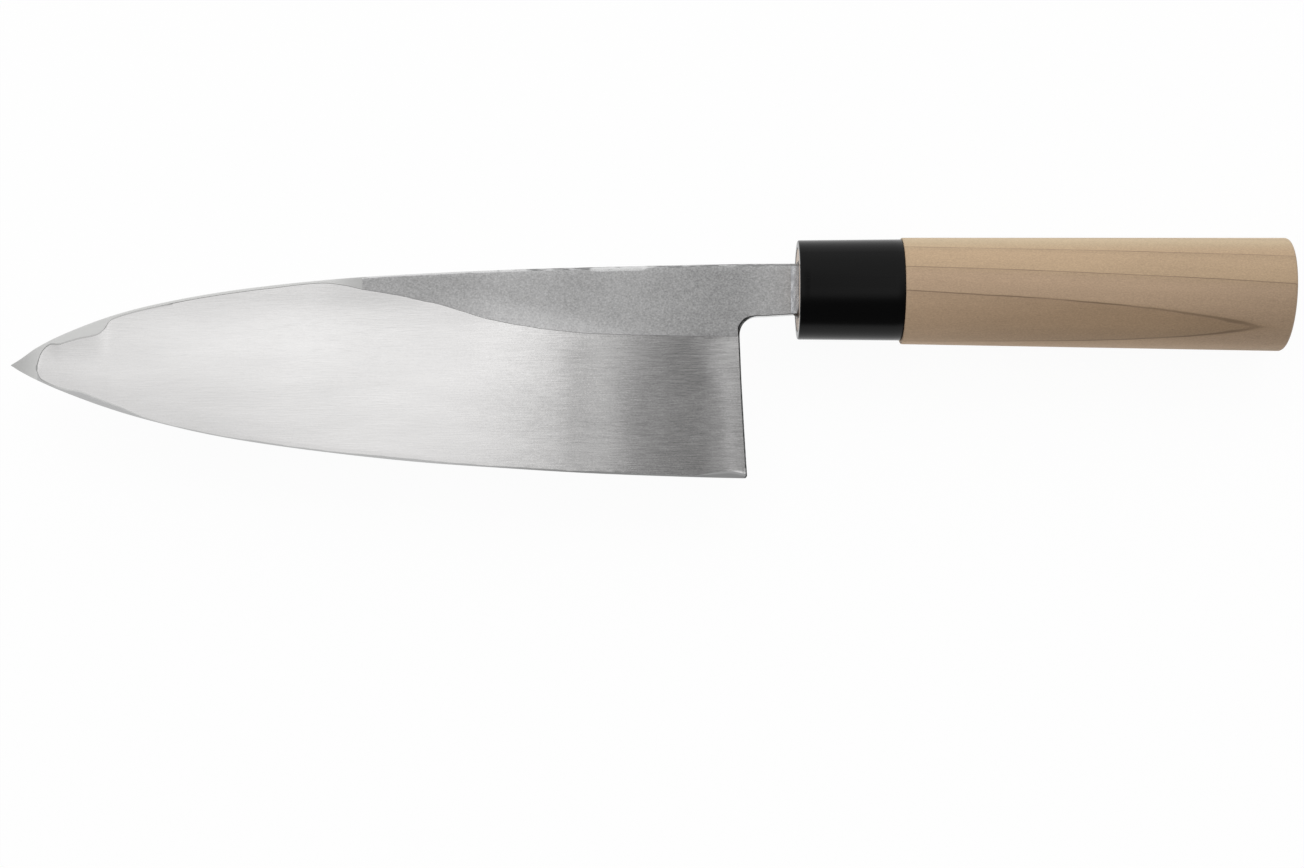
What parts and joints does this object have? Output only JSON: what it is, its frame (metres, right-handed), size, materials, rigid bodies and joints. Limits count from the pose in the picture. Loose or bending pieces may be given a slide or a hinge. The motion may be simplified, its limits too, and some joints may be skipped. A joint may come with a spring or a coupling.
{
  "type": "deba knife",
  "caption": "Heavy single-bevel fish knife with a laminated, hollow-backed blade, black collar and pale wooden grip.",
  "frame": {"origin": "centre of the knife's box in plan, at the level it lies on", "axes": "+X from tip to butt, +Y from edge to spine, +Z from the bevelled side to the hollow-ground back"},
  "size_m": [0.3658, 0.0692, 0.0279],
  "materials": {
    "soft_iron": "satin, cloudy next to the weld line, lengthwise grind marks on the cheek",
    "hard_steel": "fine lengthwise grind marks in the hollow, blasted grey near the spine and the neck",
    "collar_plastic": "satin black with a soft sheen",
    "grip_wood": "pale, fine-grained and unvarnished, with thin darker growth lines",
    "bedding_resin": "dark brown set resin"
  },
  "bodies": {
    "root": {"iron_body": "soft_iron", "hard_steel_face": "hard_steel", "ferrule": "collar_plastic", "wood_grip": "grip_wood", "tang_bedding": "bedding_resin"}
  },
  "joints": []
}
